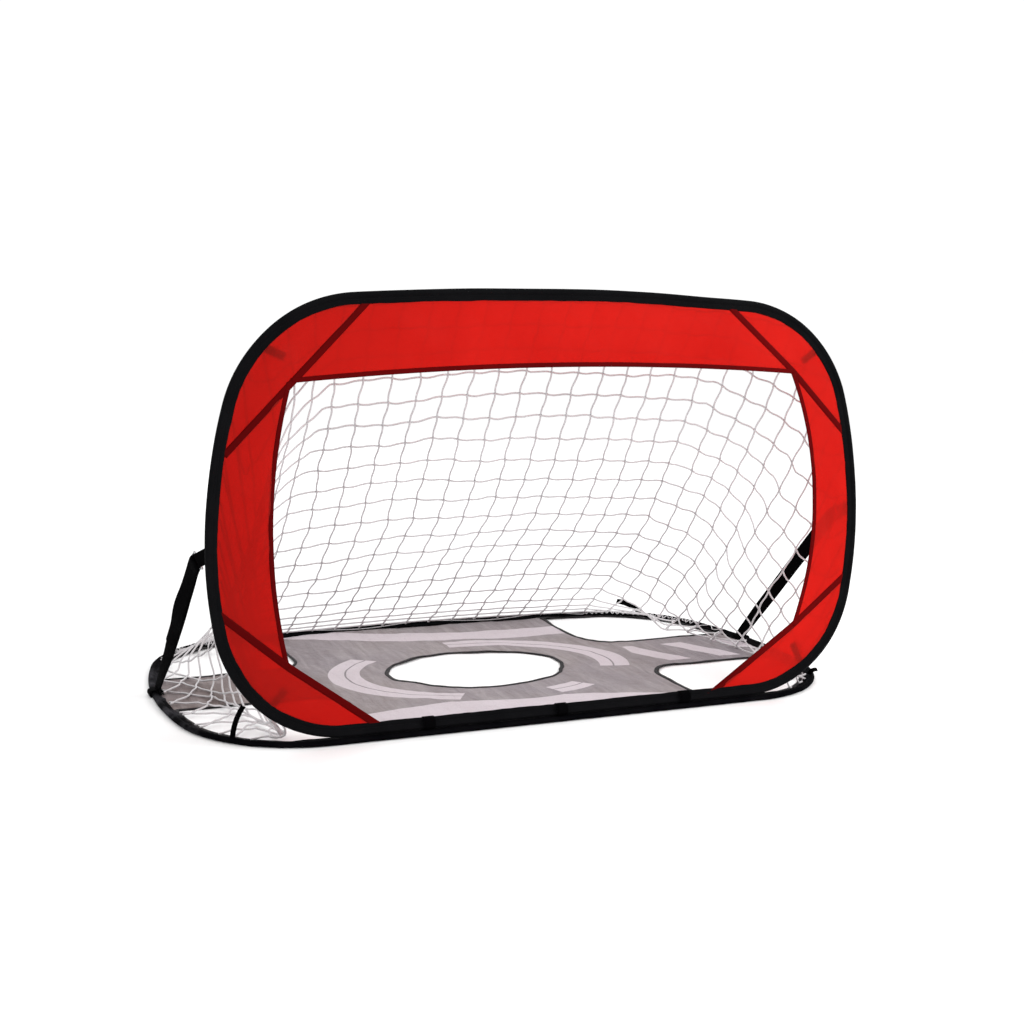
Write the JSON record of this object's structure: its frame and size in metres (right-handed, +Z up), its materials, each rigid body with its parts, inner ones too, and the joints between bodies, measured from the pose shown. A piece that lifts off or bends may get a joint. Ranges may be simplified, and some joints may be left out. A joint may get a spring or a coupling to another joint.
{
  "type": "pop-up goal net",
  "caption": "Folding street goal: a standing hoop with coloured panels round its mouth hinged to a ground hoop with a target sheet, a net behind and a strap on each side.",
  "frame": {"origin": "on the ground, at the middle of the overall width and depth", "axes": "+X across the mouth to the right as seen from in front, +Y from the mouth to the back of the net, +Z up"},
  "size_m": [1.2496, 0.7363, 0.7263],
  "materials": {
    "spring_steel": "drawn spring-steel wire",
    "ring_steel": "nickel-plated wire",
    "black_sleeve": "black woven polyester sleeve",
    "black_webbing": "black woven webbing",
    "red_cloth": "thin red polyester",
    "dark_red_tape": "dark red binding tape",
    "sheet_cloth": "grey printed polyester",
    "dark_binding": "dark grey binding",
    "net_cord": "off-white knotted netting"
  },
  "bodies": {
    "ground": {"ground_wire": "spring_steel", "ground_wire_ferrule": "spring_steel", "ground_sleeve": "black_sleeve", "target_sheet": "sheet_cloth", "center_hole_binding": "dark_binding", "hole_binding_fl": "dark_binding", "hole_binding_fr": "dark_binding", "hole_binding_bl": "dark_binding", "hole_binding_br": "dark_binding", "ground_tie_fl": "black_webbing", "ground_tie_fr": "black_webbing", "ground_tie_bl": "black_webbing", "ground_tie_br": "black_webbing", "hinge_loop_left": "black_webbing", "hinge_loop_mid": "black_webbing", "hinge_loop_right": "black_webbing", "net": "net_cord", "strap_left": "black_webbing", "strap_right": "black_webbing", "strap_tail_left": "black_webbing", "strap_tail_right": "black_webbing"},
    "front": {"front_wire": "spring_steel", "front_wire_ferrule": "spring_steel", "front_sleeve": "black_sleeve", "panel_top": "red_cloth", "panel_left": "red_cloth", "panel_right": "red_cloth", "corner_panel_tl": "red_cloth", "corner_panel_tr": "red_cloth", "corner_panel_bl": "red_cloth", "corner_panel_br": "red_cloth", "seam_tape_tl": "dark_red_tape", "seam_tape_tr": "dark_red_tape", "seam_tape_bl": "dark_red_tape", "seam_tape_br": "dark_red_tape", "mouth_binding_top": "dark_red_tape", "mouth_binding_left": "dark_red_tape", "mouth_binding_right": "dark_red_tape", "front_tie_tl": "black_webbing", "front_tie_tr": "black_webbing", "front_tie_bl": "black_webbing", "front_tie_br": "black_webbing", "ring_tab_left": "black_webbing", "ring_tab_right": "black_webbing"},
    "ring_left": {"d_ring_left": "ring_steel"},
    "ring_right": {"d_ring_right": "ring_steel"}
  },
  "joints": [
    {"name": "fold", "type": "hinge", "parent": "ground", "child": "front", "pos_m": [0, -0.3575, 0.0203], "axis": [-1, 0, 0], "range_deg": [0, 79], "stiffness_Nm_per_rad": 1, "springref_deg": -57.3, "deforming": ["net", "strap_left", "strap_right", "strap_tail_left", "strap_tail_right", "ground_tie_fl", "ground_tie_fr", "ground_tie_bl", "ground_tie_br"]},
    {"name": "ring_left_swing", "type": "hinge", "parent": "front", "child": "ring_left", "pos_m": [-0.604, -0.31446, 0.30201], "axis": [0.3611, -0.3009, -0.8827], "range_deg": [-40, 40]},
    {"name": "ring_right_swing", "type": "hinge", "parent": "front", "child": "ring_right", "pos_m": [0.582, -0.31276, 0.33197], "axis": [0.3611, -0.3009, -0.8827], "range_deg": [-40, 40]}
  ]
}
